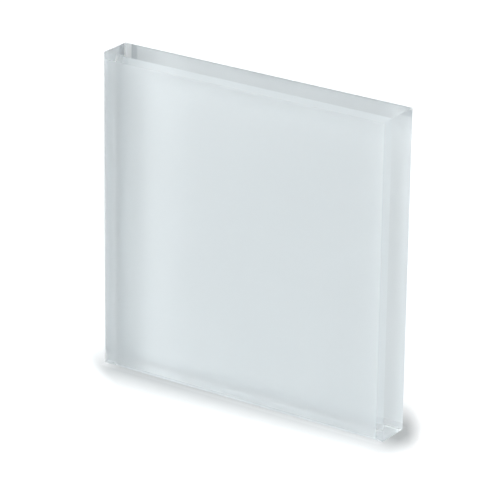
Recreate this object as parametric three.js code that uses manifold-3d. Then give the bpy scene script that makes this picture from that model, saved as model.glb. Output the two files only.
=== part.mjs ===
// A solid glass block: a square of thick clear glass with ground and polished edges.
// Millimetres, +Z up. The block stands on its bottom edge, with X across its width, Y through
// its thickness and its front face towards -Y. The origin is the centre of the bottom edge.

import * as THREE from "three";
import { mergeVertices } from "three/addons/utils/BufferGeometryUtils.js";
import Module from "manifold-3d";

const width = 101.6; // 4 in, left edge to right edge
const height = 101.6; // 4 in, bottom edge to top edge
const thickness = 14; // front face to back face
const frontArris = 1.6; // leg of the 45 degree arris ground round the front face
const backArris = 1.3; // leg of the finer arris ground round the back face
const overrun = 5; // how far each bar runs past the block before the other bar trims it

const glass = new THREE.MeshStandardMaterial({
  color: new THREE.Color(0.84, 0.9, 0.92),
  roughness: 0.05,
  metalness: 0,
  transparent: true,
  opacity: 0.6,
});

const wasm = await Module();
wasm.setup();

// The section square to a run of edge: side by thickness, with an arris at all four corners.
// The side lies along x and the thickness along y, the front face at the lower y.
function edgeSection(side) {
  const halfSide = side / 2;
  const front = -thickness / 2;
  const back = thickness / 2;
  const outline = new THREE.Shape();
  outline.moveTo(-halfSide + frontArris, front);
  outline.lineTo(halfSide - frontArris, front);
  outline.lineTo(halfSide, front + frontArris);
  outline.lineTo(halfSide, back - backArris);
  outline.lineTo(halfSide - backArris, back);
  outline.lineTo(-halfSide + backArris, back);
  outline.lineTo(-halfSide, back - backArris);
  outline.lineTo(-halfSide, front + frontArris);
  outline.closePath();
  return outline;
}

// A bar of that section, its length along z and its middle at the origin.
function edgeBar(side, length) {
  const barLength = length + 2 * overrun;
  const bar = new THREE.ExtrudeGeometry(edgeSection(side), { depth: barLength, bevelEnabled: false });
  return bar.translate(0, 0, -barLength / 2);
}

// A closed geometry as a solid that can be cut and joined.
function solidFrom(geometry) {
  const bare = geometry.clone();
  bare.deleteAttribute("normal");
  bare.deleteAttribute("uv");
  const merged = mergeVertices(bare);
  const vertProperties = new Float32Array(merged.attributes.position.array);
  const triVerts = new Uint32Array(merged.index.array);
  return new wasm.Manifold(new wasm.Mesh({ numProp: 3, vertProperties, triVerts }));
}

// A solid back as a geometry, with flat faces between its sharp edges.
function geometryFrom(solid) {
  const mesh = solid.getMesh();
  const indexed = new THREE.BufferGeometry();
  indexed.setAttribute("position", new THREE.BufferAttribute(mesh.vertProperties, mesh.numProp));
  indexed.setIndex(new THREE.BufferAttribute(mesh.triVerts, 1));
  const faceted = indexed.toNonIndexed();
  faceted.computeVertexNormals();
  return faceted;
}

// The upright bar has the left and right edges, and the lying bar the top and bottom ones. What
// the two bars share is the block, and their arrises meet in mitres at its corners.
function glassBlock() {
  const uprightBar = edgeBar(width, height);
  const lyingBar = edgeBar(height, width).rotateY(Math.PI / 2);
  const block = solidFrom(uprightBar).intersect(solidFrom(lyingBar));
  const mesh = new THREE.Mesh(geometryFrom(block), glass);
  mesh.name = "glass_block";
  mesh.position.z = height / 2;
  return mesh;
}

const model = new THREE.Group();
model.add(glassBlock());

export default model;
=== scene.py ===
# A solid glass block with a satin white back, standing on a pale studio table.
import math
import bmesh
import bpy
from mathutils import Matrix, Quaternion, Vector


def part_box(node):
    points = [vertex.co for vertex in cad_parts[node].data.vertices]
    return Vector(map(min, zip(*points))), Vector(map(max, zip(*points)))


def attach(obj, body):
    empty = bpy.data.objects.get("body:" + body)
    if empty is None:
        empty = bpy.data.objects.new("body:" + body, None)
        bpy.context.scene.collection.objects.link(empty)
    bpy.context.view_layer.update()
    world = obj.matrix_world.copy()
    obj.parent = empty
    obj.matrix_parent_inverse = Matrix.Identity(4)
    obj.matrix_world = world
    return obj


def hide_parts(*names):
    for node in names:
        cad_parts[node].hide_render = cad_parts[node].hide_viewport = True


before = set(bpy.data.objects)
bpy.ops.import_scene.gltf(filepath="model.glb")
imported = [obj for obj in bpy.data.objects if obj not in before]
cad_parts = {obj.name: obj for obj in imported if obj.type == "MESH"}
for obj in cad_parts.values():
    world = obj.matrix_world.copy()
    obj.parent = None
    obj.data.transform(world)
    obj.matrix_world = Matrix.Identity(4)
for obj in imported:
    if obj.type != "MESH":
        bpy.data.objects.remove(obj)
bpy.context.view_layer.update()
blockLow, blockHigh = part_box("glass_block")
blockSize = blockHigh - blockLow
black = (0.0, 0.0, 0.0, 1.0)
white = (1.0, 1.0, 1.0, 1.0)


def linkObject(name, data):
    made = bpy.data.objects.new(name, data)
    bpy.context.scene.collection.objects.link(made)
    return made


# Azimuth 0 is straight ahead of the front face, and positive to its right. Both in degrees.
def directionOf(azimuth, elevation):
    azimuth = math.radians(azimuth)
    elevation = math.radians(elevation)
    level = math.cos(elevation)
    return Vector((math.sin(azimuth) * level, -math.cos(azimuth) * level, math.sin(elevation)))


# The camera stands to the right of the front face and a little above it.
cameraSettings = {
    "azimuth": 33.53,
    "elevation": 21.80,
    "roll": 0.75,          # degrees
    "distance": 9.931,     # in block widths, as the aim is
    "aimX": 0.0376,
    "aimZ": 0.500,
    "lens": 244.6,         # mm
    "sensor": 36.0,
    "clip": (0.01, 50.0),  # metres
}


def makeCamera(settings):
    back = directionOf(settings["azimuth"], settings["elevation"])
    width = blockSize.x
    aim = Vector((settings["aimX"] * width, blockLow.y, settings["aimZ"] * width))
    data = bpy.data.cameras.new("camera")
    data.lens = settings["lens"]
    data.sensor_width = settings["sensor"]
    data.clip_start, data.clip_end = settings["clip"]
    camera = linkObject("camera", data)
    camera.location = aim + back * settings["distance"] * width
    camera.rotation_mode = "QUATERNION"
    roll = Quaternion((0, 0, 1), math.radians(settings["roll"]))
    camera.rotation_quaternion = back.to_track_quat("Z", "Y") @ roll
    bpy.context.scene.camera = camera


makeCamera(cameraSettings)
print("camera placed")


def addNode(tree, kind, place, **values):
    node = tree.nodes.new(kind)
    node.location = place
    for name, value in values.items():
        if hasattr(node, name):
            setattr(node, name, value)
        else:
            node.inputs[name.replace("_", " ")].default_value = value
    return node


def startMaterial(name):
    material = bpy.data.materials.new(name)
    material.use_nodes = True
    tree = material.node_tree
    return material, tree, tree.nodes["Principled BSDF"]


def startGroup(name, inputs, outputs):
    group = bpy.data.node_groups.new(name, "ShaderNodeTree")
    for label, value in inputs.items():
        socket = group.interface.new_socket(label, in_out="INPUT", socket_type="NodeSocketFloat")
        socket.default_value = value
    for label in outputs:
        group.interface.new_socket(label, in_out="OUTPUT", socket_type="NodeSocketFloat")
    start = addNode(group, "NodeGroupInput", (-900, 0))
    end = addNode(group, "NodeGroupOutput", (900, 0))
    return group, start, end


def placeGroup(tree, group, place, **values):
    node = addNode(tree, "ShaderNodeGroup", place)
    node.node_tree = group
    for name, value in values.items():
        node.inputs[name.replace("_", " ")].default_value = value
    return node


def attributeOf(tree, name, place):
    return addNode(tree, "ShaderNodeAttribute", place, attribute_name=name).outputs["Fac"]


def rangeOf(tree, source, place, span=(0.0, 1.0), result=(0.0, 1.0)):
    node = addNode(tree, "ShaderNodeMapRange", place, interpolation_type="SMOOTHSTEP")
    for label, value in zip(("From Min", "From Max", "To Min", "To Max"), (*span, *result)):
        node.inputs[label].default_value = value
    tree.links.new(source, node.inputs["Value"])
    return node.outputs["Result"]


def mathOf(tree, operation, place, first, second=0.0, third=0.0):
    node = addNode(tree, "ShaderNodeMath", place, operation=operation)
    for socket, value in zip(node.inputs, (first, second, third)):
        if isinstance(value, (int, float)):
            socket.default_value = value
        else:
            tree.links.new(value, socket)
    return node.outputs["Value"]


def mixColours(tree, factor, first, second, place):
    node = addNode(tree, "ShaderNodeMix", place, data_type="RGBA")
    tree.links.new(factor, node.inputs["Factor"])
    for label, colour in (("A", first), ("B", second)):
        if isinstance(colour, tuple):
            node.inputs[label].default_value = colour
        else:
            tree.links.new(colour, node.inputs[label])
    return node.outputs["Result"]


def fineNoise(tree, scale, detail, place):
    coords = addNode(tree, "ShaderNodeTexCoord", (place[0] - 200, place[1]))
    noise = addNode(tree, "ShaderNodeTexNoise", place, Scale=scale, Detail=detail)
    tree.links.new(coords.outputs["Object"], noise.inputs["Vector"])
    return noise.outputs["Fac"]


def addBump(tree, surface, height, strength, depth, place):
    bump = addNode(tree, "ShaderNodeBump", place, Strength=strength, Distance=depth)
    tree.links.new(height, bump.inputs["Height"])
    tree.links.new(bump.outputs["Normal"], surface.inputs["Normal"])


# 1 for what is seen in the glass, mirrored or straight through, and 0 for the rest.
def seenInGlass(tree, rays, place):
    glossy, through = rays.outputs["Is Glossy Ray"], rays.outputs["Is Transmission Ray"]
    return mathOf(tree, "MAXIMUM", place, glossy, through)


markSettings = {
    "hazeSpan": (0.38, 0.72),             # of the noise, as the next two are
    "scratchSpan": (0.70, 0.73),
    "patchSpan": (0.52, 0.62),            # where the scratches are, and not all over
    "scratchTurn": (0.35, 0.6, 0.9),      # radians
    "scratchStretch": (1.0, 22.0, 22.0),
    "speckSpan": (0.06, 0.14),            # of a dust cell
}


# Haze from handling, a few hairline scratches and settled dust, on any face of the block.
def makeHandlingMarks(settings):
    inputs = {"Haze Scale": 35.0, "Scratch Scale": 26.0, "Dust Scale": 420.0, "Dust Amount": 0.03}
    group, start, end = startGroup("handlingMarks", inputs, ("Haze", "Scratches", "Dust"))
    place = addNode(group, "ShaderNodeTexCoord", (-900, 300)).outputs["Object"]
    cloud = addNode(group, "ShaderNodeTexNoise", (-600, 400), Detail=4.0, Roughness=0.55)
    group.links.new(place, cloud.inputs["Vector"])
    group.links.new(start.outputs["Haze Scale"], cloud.inputs["Scale"])
    haze = rangeOf(group, cloud.outputs["Fac"], (-300, 400), settings["hazeSpan"])
    group.links.new(haze, end.inputs["Haze"])

    turned = addNode(group, "ShaderNodeMapping", (-700, 0))
    turned.inputs["Rotation"].default_value = settings["scratchTurn"]
    turned.inputs["Scale"].default_value = settings["scratchStretch"]
    group.links.new(place, turned.inputs["Vector"])
    strands = addNode(group, "ShaderNodeTexNoise", (-500, 0), Detail=2.0)
    group.links.new(turned.outputs["Vector"], strands.inputs["Vector"])
    group.links.new(start.outputs["Scratch Scale"], strands.inputs["Scale"])
    lines = rangeOf(group, strands.outputs["Fac"], (-300, 0), settings["scratchSpan"])
    patches = rangeOf(group, cloud.outputs["Fac"], (-300, 200), settings["patchSpan"])
    scratches = mathOf(group, "MULTIPLY", (0, 0), lines, patches)
    group.links.new(scratches, end.inputs["Scratches"])

    cells = addNode(group, "ShaderNodeTexVoronoi", (-600, -300), feature="F1")
    group.links.new(place, cells.inputs["Vector"])
    group.links.new(start.outputs["Dust Scale"], cells.inputs["Scale"])
    speck = rangeOf(group, cells.outputs["Distance"], (-300, -300), settings["speckSpan"], (1.0, 0.0))
    pick = addNode(group, "ShaderNodeSeparateColor", (-400, -500))
    group.links.new(cells.outputs["Color"], pick.inputs["Color"])
    chosen = mathOf(group, "LESS_THAN", (-200, -500), pick.outputs["Red"], start.outputs["Dust Amount"])
    dust = mathOf(group, "MULTIPLY", (0, -300), speck, chosen)
    group.links.new(dust, end.inputs["Dust"])
    return group


edgeSettings = {
    "acrossStretch": (0.02, 1.0, 1.0),    # marks along the top and the foot
    "upStretch": (1.0, 1.0, 0.02),        # marks along the left and right sides
    "sideFacing": 0.35,                   # a facet whose normal points sideways by more is on a side
    "wearReach": 0.12,
}


# Wheel marks that run along each edge of the block, and small nicks where two facets meet.
def makeEdgeWork(settings):
    inputs = {"Mark Scale": 900.0, "Nick Scale": 1300.0, "Nick Amount": 0.5}
    group, start, end = startGroup("edgeWork", inputs, ("Marks", "Wear"))
    coords = addNode(group, "ShaderNodeTexCoord", (-900, 300))
    facing = addNode(group, "ShaderNodeSeparateXYZ", (-700, 500))
    group.links.new(coords.outputs["Normal"], facing.inputs["Vector"])
    sideways = mathOf(group, "ABSOLUTE", (-500, 500), facing.outputs["X"])
    onSide = mathOf(group, "GREATER_THAN", (-300, 500), sideways, settings["sideFacing"])
    choose = addNode(group, "ShaderNodeMix", (-100, 200), data_type="FLOAT")
    group.links.new(onSide, choose.inputs["Factor"])
    for row, (label, socket) in enumerate((("acrossStretch", "A"), ("upStretch", "B"))):
        level = 200 - 200 * row
        stretch = addNode(group, "ShaderNodeMapping", (-700, level))
        stretch.inputs["Scale"].default_value = settings[label]
        group.links.new(coords.outputs["Object"], stretch.inputs["Vector"])
        streaks = addNode(group, "ShaderNodeTexNoise", (-500, level), Detail=3.0, Roughness=0.6)
        group.links.new(stretch.outputs["Vector"], streaks.inputs["Vector"])
        group.links.new(start.outputs["Mark Scale"], streaks.inputs["Scale"])
        group.links.new(streaks.outputs["Fac"], choose.inputs[socket])
    group.links.new(choose.outputs["Result"], end.inputs["Marks"])

    border = attributeOf(group, "border", (-700, -300))
    chips = addNode(group, "ShaderNodeTexNoise", (-700, -500), Detail=2.0)
    group.links.new(coords.outputs["Object"], chips.inputs["Vector"])
    group.links.new(start.outputs["Nick Scale"], chips.inputs["Scale"])
    broken = mathOf(group, "MULTIPLY", (-400, -300), border, chips.outputs["Fac"])
    limit = mathOf(group, "SUBTRACT", (-400, -500), 1.0, start.outputs["Nick Amount"])
    past = mathOf(group, "SUBTRACT", (-200, -300), broken, limit)
    wear = rangeOf(group, past, (0, -300), (0.0, settings["wearReach"]))
    group.links.new(wear, end.inputs["Wear"])
    return group


handlingMarks = makeHandlingMarks(markSettings)
edgeWork = makeEdgeWork(edgeSettings)

glassSettings = {
    "colour": (0.975, 0.990, 0.994, 1.0),
    "ior": 1.5,
    "polish": (0.0, 0.01),         # roughness when clean and when hazed
    "satin": (0.30, 0.34),         # the same for the front face, which has a soft finish
    "dustRoughness": 0.25,
    "wornRoughness": 0.26,
    "nicks": 0.28,
    "wave": 0.003,                 # strength of the polishing waves
    "waveDepth": 0.00002,          # metres
    "markHeight": 0.3,             # of the wheel marks, against scratches of 1
}


def makeGlass(name, settings, rough):
    material, tree, surface = startMaterial(name)
    surface.inputs["Base Color"].default_value = settings["colour"]
    surface.inputs["IOR"].default_value = settings["ior"]
    surface.inputs["Transmission Weight"].default_value = 1.0
    marks = placeGroup(tree, handlingMarks, (-900, 200))
    edges = placeGroup(tree, edgeWork, (-900, -200), Nick_Amount=settings["nicks"])
    haze = rangeOf(tree, marks.outputs["Haze"], (-600, 300), result=rough)
    specks = mathOf(tree, "MULTIPLY", (-600, 100), marks.outputs["Dust"], settings["dustRoughness"])
    worn = mathOf(tree, "MULTIPLY", (-600, -100), edges.outputs["Wear"], settings["wornRoughness"])
    spoilt = mathOf(tree, "MAXIMUM", (-400, 0), specks, worn)
    tree.links.new(mathOf(tree, "MAXIMUM", (-250, 200), haze, spoilt), surface.inputs["Roughness"])
    wheel, scratches = edges.outputs["Marks"], marks.outputs["Scratches"]
    height = mathOf(tree, "MULTIPLY_ADD", (-600, -350), wheel, settings["markHeight"], scratches)
    addBump(tree, surface, height, settings["wave"], settings["waveDepth"], (-300, -300))
    return material


coatSettings = {
    "colour": (0.800, 0.836, 0.851, 1.0),
    "cloud": (0.790, 0.826, 0.841, 1.0),   # where the coat lies thinner
    "shadedRim": (0.605, 0.645, 0.670, 1.0),     # painted shade along the rim of the coat at the left, the foot and the top
    "rimShadeShare": {                          # of that tone, seen square on and at a slant
        "left": (0.26, 1.0),
        "foot": (0.32, 0.0),
        "top": (0.0, 0.55),
    },
    "rimReach": (0.20, 0.55),              # of the mask of that painted shade, which falls from 1 to 0
    "slantShade": 0.06,                    # painted shade: how much darker the inner coat is made at a slant
    "slantReach": (0.003, 0.016),          # metres from the right side
    "topReach": 2.0,                       # times as far from the top
    "slantIor": 1.36,                      # sets how the painted shade in the coat and at its rim grows with the slant of the view
    "roughness": (0.52, 0.68),             # when clean and when hazed
    "hazeScale": 60.0,
    "dust": 0.05,
    "nicks": 0.38,
    "grainScale": 2600.0,
    "grain": 0.25,
    "grainDepth": 0.00003,                 # metres
    "scuffed": (0.640, 0.670, 0.680, 1.0),  # where the bare back has been handled
    "scuffs": (0.38, 0.70),                # share of that in haze and in scratches
    "sheen": (0.85, 0.30),                 # coat weight of the bare back, when clean and when hazed
    "sheenRoughness": 0.34,
}


# How much of the painted shade along the rim shows: by side, and by how slanted the view through the
# glass is.
def rimShadeOf(tree, settings, slant):
    shadedRim = rangeOf(tree, attributeOf(tree, "shadedRim", (-900, 600)), (-600, 600), settings["rimReach"])
    share = 0.0
    for row, (label, squareAndSlant) in enumerate(settings["rimShadeShare"].items()):
        level = 1000 + 250 * row
        turned = rangeOf(tree, slant, (-900, level), result=squareAndSlant)
        onSide = mathOf(tree, "MULTIPLY", (-700, level), attributeOf(tree, label, (-1100, level)), turned)
        share = mathOf(tree, "MAXIMUM", (-500, level), onSide, share)
    return mathOf(tree, "MULTIPLY", (-350, 700), shadedRim, share)


# Painted shade: how much darker the coat is made at a slant, growing away from the right side and the
# top.
def slantShadeOf(tree, settings, slant):
    coords = addNode(tree, "ShaderNodeTexCoord", (-1500, 1900))
    parts = addNode(tree, "ShaderNodeSeparateXYZ", (-1300, 1900))
    tree.links.new(coords.outputs["Object"], parts.inputs["Vector"])
    fromRight = mathOf(tree, "SUBTRACT", (-1100, 1900), blockHigh.x, parts.outputs["X"])
    fromTop = mathOf(tree, "SUBTRACT", (-1300, 2050), blockHigh.z, parts.outputs["Z"])
    fromTop = mathOf(tree, "DIVIDE", (-1100, 2050), fromTop, settings["topReach"])
    nearest = mathOf(tree, "MINIMUM", (-900, 1950), fromRight, fromTop)
    shade = rangeOf(tree, nearest, (-700, 1950), settings["slantReach"], (0.0, settings["slantShade"]))
    return mathOf(tree, "MULTIPLY", (-500, 1950), shade, slant)


# Scuffs and sheen of the bare back. Both are 0 when it is seen through the glass.
def bareBackOf(tree, settings, marks):
    throughGlass = addNode(tree, "ShaderNodeNewGeometry", (-1100, -700)).outputs["Backfacing"]
    outside = mathOf(tree, "SUBTRACT", (-900, -700), 1.0, throughGlass)
    hazeShare, scratchShare = settings["scuffs"]
    hazed = mathOf(tree, "MULTIPLY", (-700, -700), marks.outputs["Haze"], hazeShare)
    scored = mathOf(tree, "MULTIPLY", (-700, -850), marks.outputs["Scratches"], scratchShare)
    scuffs = mathOf(tree, "MAXIMUM", (-500, -750), hazed, scored)
    scuffs = mathOf(tree, "MULTIPLY", (-350, -700), scuffs, outside)
    sheen = rangeOf(tree, marks.outputs["Haze"], (-500, -950), result=settings["sheen"])
    sheen = mathOf(tree, "MULTIPLY", (-300, -900), sheen, outside)
    return scuffs, sheen


def makeSatinCoat(settings):
    material, tree, surface = startMaterial("satinCoat")
    surface.inputs["Specular IOR Level"].default_value = 0.0
    surface.inputs["Coat Roughness"].default_value = settings["sheenRoughness"]
    marks = placeGroup(tree, handlingMarks, (-900, 200), Haze_Scale=settings["hazeScale"],
                       Dust_Amount=settings["dust"])
    edges = placeGroup(tree, edgeWork, (-900, -200), Nick_Amount=settings["nicks"])
    slant = addNode(tree, "ShaderNodeFresnel", (-1100, 800), IOR=settings["slantIor"]).outputs["Fac"]
    scuffs, sheen = bareBackOf(tree, settings, marks)
    spots = mathOf(tree, "MAXIMUM", (-600, 100), marks.outputs["Dust"], edges.outputs["Wear"])
    thin = mathOf(tree, "MAXIMUM", (-550, 300), marks.outputs["Haze"], spots)
    tone = mixColours(tree, thin, settings["colour"], settings["cloud"], (-400, 300))
    # Painted shade: the coat darker when seen at a slant.
    tone = mixColours(tree, slantShadeOf(tree, settings, slant), tone, black, (-300, 600))
    # Painted shade along the rim of the coat at the left, the foot and the top.
    tone = mixColours(tree, rimShadeOf(tree, settings, slant), tone, settings["shadedRim"], (-200, 400))
    tone = mixColours(tree, scuffs, tone, settings["scuffed"], (0, 400))
    tree.links.new(tone, surface.inputs["Base Color"])
    tree.links.new(sheen, surface.inputs["Coat Weight"])
    rough = rangeOf(tree, marks.outputs["Haze"], (-400, 50), result=settings["roughness"])
    tree.links.new(rough, surface.inputs["Roughness"])
    grain = fineNoise(tree, settings["grainScale"], 3.0, (-700, -450))
    addBump(tree, surface, grain, settings["grain"], settings["grainDepth"], (-400, -300))
    return material


arrisSettings = {
    "colour": (0.725, 0.750, 0.760, 1.0),
    "foot": (0.700, 0.725, 0.738, 1.0),       # darker along the foot: painted shade
    "slant": (0.950, 0.965, 0.970, 1.0),      # painted sheen: brighter when looked at along the arris
    "footSheen": (0.880, 0.905, 0.915, 1.0),
    "slantIor": (1.36, 1.155),                # sets how the painted sheen grows with the slant of the view: sides, foot
    "groundDown": 0.04,                       # how much darker the deeper wheel marks are
    "roughness": (0.45, 0.70),                # between the marks and in them
    "markSpan": (0.3, 0.7),
    "markScale": 1500.0,
    "marks": 0.15,
    "markDepth": 0.00002,                     # metres
    "nicks": 0.33,
}


# The coat runs on over the ground arris round the back, where the wheel marks show through it. Its tone
# is darker than the coat's and darker still along the foot, which is painted shade, and turns bright when
# seen at a slant, which is a painted sheen.
def makeCoatedArris(settings):
    material, tree, surface = startMaterial("coatedArris")
    surface.inputs["Specular IOR Level"].default_value = 0.0
    edges = placeGroup(tree, edgeWork, (-1100, 0), Mark_Scale=settings["markScale"],
                       Nick_Amount=settings["nicks"])
    foot = attributeOf(tree, "foot", (-1100, 800))
    paintedShine = addNode(tree, "ShaderNodeFresnel", (-800, 500))
    tree.links.new(rangeOf(tree, foot, (-950, 500), result=settings["slantIor"]), paintedShine.inputs["IOR"])
    # Painted shade along the foot, and a painted sheen when seen at a slant.
    facing = mixColours(tree, foot, settings["colour"], settings["foot"], (-800, 700))
    sheened = mixColours(tree, foot, settings["slant"], settings["footSheen"], (-800, 900))
    tone = mixColours(tree, paintedShine.outputs["Fac"], facing, sheened, (-500, 600))
    worn = mathOf(tree, "MAXIMUM", (-700, 300), edges.outputs["Marks"], edges.outputs["Wear"])
    dull = mathOf(tree, "MULTIPLY", (-500, 300), worn, settings["groundDown"])
    tree.links.new(mixColours(tree, dull, tone, black, (-250, 400)), surface.inputs["Base Color"])
    rough = rangeOf(tree, edges.outputs["Marks"], (-600, 0), settings["markSpan"], settings["roughness"])
    tree.links.new(rough, surface.inputs["Roughness"])
    addBump(tree, surface, edges.outputs["Marks"], settings["marks"], settings["markDepth"], (-400, -300))
    return material


blockSettings = {
    "weld": 1e-6,             # metres, as the next ones in metres are
    "flatAngle": 1.0,         # degrees: facets closer than this are one
    "sameNormal": 0.99999,
    "edgeRadius": 0.00005,    # the softened corner between two polished facets
    "edgeSegments": 2,
    "borderWidth": 0.0005,    # how far the wear reaches in from an edge
    "rimWidth": 0.0025,       # the same for the painted shade along the rim of the coat
    "sideReach": 0.0045,      # faces centred this close to the left side, foot or top belong to it
    "squareOn": 0.99,         # how far a normal points to the back or the front on those faces
    "arrisFacing": 0.30,      # the same on the arrises round the back
    "finishes": ("clearGlass", "satinCoat", "coatedArris", "satinGlass"),
}


# Insets the faces by a band, over which the value falls from 1 to 0.
def addBand(mesh, faces, width, value):
    bmesh.ops.inset_individual(mesh, faces=faces, thickness=width, use_even_offset=True)
    for face in faces:
        for vertex in face.verts:
            vertex[value] = 0.0


def finishOf(toBack, settings):
    if toBack > settings["squareOn"]:
        return "satinCoat"
    if toBack > settings["arrisFacing"]:
        return "coatedArris"
    if toBack < -settings["squareOn"]:
        return "satinGlass"
    return "clearGlass"


def shapeBlock(settings):
    mesh = bmesh.new()
    mesh.from_mesh(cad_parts["glass_block"].data)
    bmesh.ops.remove_doubles(mesh, verts=mesh.verts, dist=settings["weld"])
    flatAngle = math.radians(settings["flatAngle"])
    bmesh.ops.dissolve_limit(mesh, angle_limit=flatAngle, verts=mesh.verts, edges=mesh.edges)
    facets = [face.normal.copy() for face in mesh.faces]
    bmesh.ops.bevel(
        mesh, geom=mesh.edges[:], offset=settings["edgeRadius"], offset_type="OFFSET",
        segments=settings["edgeSegments"], profile=0.5, affect="EDGES",
    )
    border = mesh.verts.layers.float.new("border")
    shadedRim = mesh.verts.layers.float.new("shadedRim")
    left = mesh.faces.layers.float.new("left")
    foot = mesh.faces.layers.float.new("foot")
    top = mesh.faces.layers.float.new("top")
    for vertex in mesh.verts:
        vertex[border] = 1.0
        vertex[shadedRim] = 1.0
    same = settings["sameNormal"]
    flats = [face for face in mesh.faces if max(face.normal.dot(facet) for facet in facets) > same]
    addBand(mesh, flats, settings["borderWidth"], border)
    # The coat's rim band, over which its painted shade falls off inward.
    coated = [face for face in flats if face.normal.y > settings["squareOn"]]
    addBand(mesh, coated, settings["rimWidth"], shadedRim)
    reach = settings["sideReach"]
    for face in mesh.faces:
        middle = face.calc_center_median()
        face[left] = float(middle.x < blockLow.x + reach)
        face[foot] = float(middle.z < blockLow.z + reach)
        face[top] = float(middle.z > blockHigh.z - reach)
        face.smooth = True
        face.material_index = settings["finishes"].index(finishOf(face.normal.y, settings))
    data = bpy.data.meshes.new("glassBlock")
    mesh.to_mesh(data)
    mesh.free()
    return data


def makeBlock(settings):
    data = shapeBlock(settings)
    made = {
        "clearGlass": makeGlass("clearGlass", glassSettings, glassSettings["polish"]),
        "satinCoat": makeSatinCoat(coatSettings),
        "coatedArris": makeCoatedArris(arrisSettings),
        "satinGlass": makeGlass("satinGlass", glassSettings, glassSettings["satin"]),
    }
    for finish in settings["finishes"]:
        data.materials.append(made[finish])
    block = linkObject("glassBlock", data)
    harden = block.modifiers.new("facetNormals", "WEIGHTED_NORMAL")
    harden.keep_sharp = True
    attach(block, "root")
    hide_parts("glass_block")


makeBlock(blockSettings)
print("block made")

floorSettings = {
    "half": 6.0,             # metres
    "gap": 0.00005,          # air under the block, so its bottom face stays bright
    "paper": (0.90, 0.90, 0.90, 1.0),
    "seenPaper": (0.30, 0.325, 0.335, 1.0),   # what the eye gets of the lit paper
    "roughness": 0.9,
    "fibreScale": 900.0,
    "fibre": 0.05,
    "fibreDepth": 0.00005,   # metres
    "lift": 0.80,            # added to the seen paper away from the block, up to white
    "farLift": 0.50,         # added again by the far end of the floor, where the lamps fall off
    "farReach": (0.8, 3.0),  # metres from the block
    "footLift": 0.339,       # share of the lift left at the foot of the block, which paints its shadow
    "glassLift": 0.03,       # added to what glass and gloss show of the floor
    "seenSpill": 0.070,      # painted light, for light that leaks through the block onto the floor round it
    "glassSpill": 0.05,      # the same as the glass shows it
    "spillReach": 0.0012,    # metres
    "spillInset": 0.0006,    # how far inside the left and right sides it starts to fall
    # the painted shadow round the foot ends along six lines on the floor, each with the direction that it
    # faces, its distance from the middle of the block and the reach of its soft rim
    "paintedShadowLines": {
        "front": (0.0648, -1.0, 0.00439, 0.01384),
        "frontLeft": (-0.6, -0.8, 0.03570, 0.00512),
        "left": (-1.0, 0.0, 0.04459, 0.01652),
        "right": (1.0, 0.0, 0.05351, 0.00788),
        "rearRight": (0.834, 0.552, 0.04673, 0.00505),
        "rear": (0.1518, 1.0, 0.01617, 0.01408),
    },
}


# How far a floor point is outside the painted shadow round the block's foot: 0 within it, 1 beyond its
# soft rim.
def outsidePaintedShadowOf(tree, settings):
    position = addNode(tree, "ShaderNodeNewGeometry", (-2100, -100)).outputs["Position"]
    total = 0.0
    for row, (towardX, towardY, start, reach) in enumerate(settings["paintedShadowLines"].values()):
        level = -250 * row
        direction = addNode(tree, "ShaderNodeVectorMath", (-1900, level), operation="DOT_PRODUCT")
        direction.inputs[1].default_value = (towardX / reach, towardY / reach, 0.0)
        tree.links.new(position, direction.inputs[0])
        past = mathOf(tree, "SUBTRACT", (-1700, level), direction.outputs["Value"], start / reach)
        past = mathOf(tree, "MAXIMUM", (-1500, level), past)
        square = mathOf(tree, "MULTIPLY", (-1300, level), past, past)
        total = mathOf(tree, "ADD", (-1100, level), square, total)
    return mathOf(tree, "MINIMUM", (-500, -150), mathOf(tree, "SQRT", (-650, -150), total), 1.0)


# Painted light for light that leaks through the block onto the floor right beside it: 1 at its foot, 0
# further out.
def paintedSpillOf(tree, settings):
    position = addNode(tree, "ShaderNodeNewGeometry", (-2100, -1900)).outputs["Position"]
    parts = addNode(tree, "ShaderNodeSeparateXYZ", (-1900, -1900))
    tree.links.new(position, parts.inputs["Vector"])
    halves = {"X": blockHigh.x - settings["spillInset"], "Y": blockHigh.y}
    squares = []
    for row, (label, half) in enumerate(halves.items()):
        level = -1900 - 200 * row
        outward = mathOf(tree, "ABSOLUTE", (-1700, level), parts.outputs[label])
        outward = mathOf(tree, "SUBTRACT", (-1500, level), outward, half)
        outward = mathOf(tree, "MAXIMUM", (-1300, level), outward)
        squares.append(mathOf(tree, "MULTIPLY", (-1100, level), outward, outward))
    distance = mathOf(tree, "SQRT", (-700, -1900), mathOf(tree, "ADD", (-900, -1900), *squares))
    return rangeOf(tree, distance, (-500, -1900), (0.0, settings["spillReach"]), (1.0, 0.0))


# What is added for the eye: up to white away from the block, less at its foot, which paints its shadow,
# and the painted light of the spill.
def seenLiftOf(tree, settings, spill):
    low = settings["lift"] * settings["footLift"]
    outside = outsidePaintedShadowOf(tree, settings)
    lift = mathOf(tree, "MULTIPLY_ADD", (-350, -100), outside, settings["lift"] - low, low)
    coords = addNode(tree, "ShaderNodeTexCoord", (-1100, -350))
    distance = addNode(tree, "ShaderNodeVectorMath", (-900, -350), operation="LENGTH")
    tree.links.new(coords.outputs["Object"], distance.inputs[0])
    away = distance.outputs["Value"]
    further = rangeOf(tree, away, (-600, -350), settings["farReach"], (0.0, settings["farLift"]))
    lift = mathOf(tree, "ADD", (-350, 50), lift, further)
    leaked = mathOf(tree, "MULTIPLY", (-350, -1900), spill, settings["seenSpill"])
    return mathOf(tree, "ADD", (-250, 50), lift, leaked)


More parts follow.
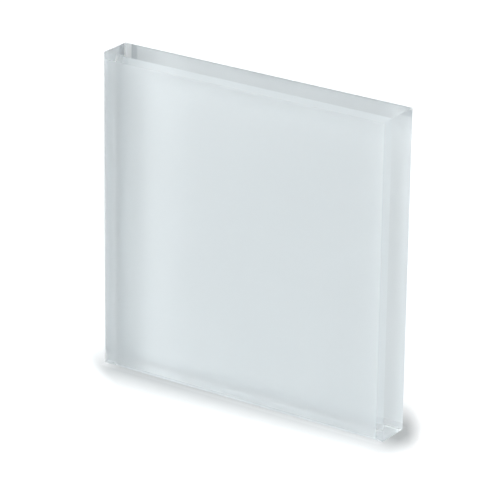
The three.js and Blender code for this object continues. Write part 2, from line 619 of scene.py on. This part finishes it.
def makeWhitePaper(settings):
    material, tree, surface = startMaterial("whitePaper")
    surface.inputs["Roughness"].default_value = settings["roughness"]
    surface.inputs["Specular IOR Level"].default_value = 0.0
    surface.inputs["Emission Color"].default_value = white
    fibre = fineNoise(tree, settings["fibreScale"], 2.0, (-700, -600))
    addBump(tree, surface, fibre, settings["fibre"], settings["fibreDepth"], (-400, -600))
    rays = addNode(tree, "ShaderNodeLightPath", (-1100, 400))
    eye = rays.outputs["Is Camera Ray"]
    paper = mixColours(tree, eye, settings["paper"], settings["seenPaper"], (-300, 400))
    tree.links.new(paper, surface.inputs["Base Color"])
    # Painted light on the floor right beside the block.
    spill = paintedSpillOf(tree, settings)
    direct = mathOf(tree, "MULTIPLY", (-200, 0), eye, seenLiftOf(tree, settings, spill))
    inGlass = seenInGlass(tree, rays, (-850, 300))
    leaked = mathOf(tree, "MULTIPLY", (-350, -2100), spill, settings["glassSpill"])
    mirrored = mathOf(tree, "ADD", (-200, -2100), leaked, settings["glassLift"])
    mirrored = mathOf(tree, "MULTIPLY", (-650, 300), inGlass, mirrored)
    lift = mathOf(tree, "ADD", (-100, 100), direct, mirrored)
    tree.links.new(lift, surface.inputs["Emission Strength"])
    return material


def makeFloor(settings):
    half, level = settings["half"], -settings["gap"]
    data = bpy.data.meshes.new("floor")
    corners = [(-half, -half, level), (half, -half, level), (half, half, level), (-half, half, level)]
    data.from_pydata(corners, [], [(0, 1, 2, 3)])
    data.materials.append(makeWhitePaper(settings))
    floor = linkObject("floor", data)


makeFloor(floorSettings)
print("floor made")

lightSettings = {
    "world": 0.335,
    "seenWorld": 1.0,       # what the eye gets of it beyond the floor
    "glassWorld": 0.03,     # added to what glass and gloss show of it
    # name: azimuth, elevation, distance, width, height, radiance
    "softboxes": {
        "keyCore": (-60.0, 11.0, 2.00, 1.0, 1.07, 1.86),
        "keyWide": (-66.0, 19.0, 2.05, 2.2, 1.85, 2.33),
        "left": (-102.0, 25.0, 2.10, 1.4, 1.90, 1.88),
        "fill": (-28.0, 22.0, 2.10, 0.8, 1.50, 0.84),
        "front": (22.0, 20.0, 2.00, 0.9, 1.60, 0.63),
        "right": (92.0, 40.0, 2.00, 1.0, 1.80, 0.90),
        "upper": (-90.0, 60.0, 2.00, 1.9, 1.05, 0.73),
        "top": (0.0, 86.0, 2.00, 1.4, 1.40, 0.84),
    },
    "glassBounces": 24,     # glass this thick needs long, sharp light paths
    "paperBounces": 6,
}


def makeWorld(settings):
    world = bpy.data.worlds.new("studio")
    world.use_nodes = True
    tree = world.node_tree
    background = tree.nodes["Background"]
    background.inputs["Color"].default_value = white
    rays = addNode(tree, "ShaderNodeLightPath", (-900, 0))
    level = settings["world"]
    raised = settings["seenWorld"] - level
    direct = mathOf(tree, "MULTIPLY_ADD", (-500, 100), rays.outputs["Is Camera Ray"], raised, level)
    inGlass = seenInGlass(tree, rays, (-700, -100))
    mirrored = mathOf(tree, "MULTIPLY", (-500, -100), inGlass, settings["glassWorld"])
    tree.links.new(mathOf(tree, "ADD", (-250, 0), direct, mirrored), background.inputs["Strength"])
    bpy.context.scene.world = world


def makeSoftbox(name, azimuth, elevation, distance, width, height, radiance):
    toward = directionOf(azimuth, elevation)
    data = bpy.data.lights.new(name, "AREA")
    data.shape = "RECTANGLE"
    data.size = width
    data.size_y = height
    data.energy = math.pi * width * height * radiance
    softbox = linkObject(name, data)
    softbox.location = toward * distance + Vector((0, 0, blockSize.z * 0.5))
    softbox.rotation_mode = "QUATERNION"
    softbox.rotation_quaternion = toward.to_track_quat("Z", "Y")


def setLightPaths(settings):
    paths = bpy.context.scene.cycles
    paths.blur_glossy = 0.0
    paths.max_bounces = settings["glassBounces"]
    paths.glossy_bounces = settings["glassBounces"]
    paths.transmission_bounces = settings["glassBounces"]
    paths.diffuse_bounces = settings["paperBounces"]


makeWorld(lightSettings)
for name, values in lightSettings["softboxes"].items():
    makeSoftbox(name, *values)
setLightPaths(lightSettings)
bpy.context.scene.view_settings.view_transform = "Standard"
print("lights placed")
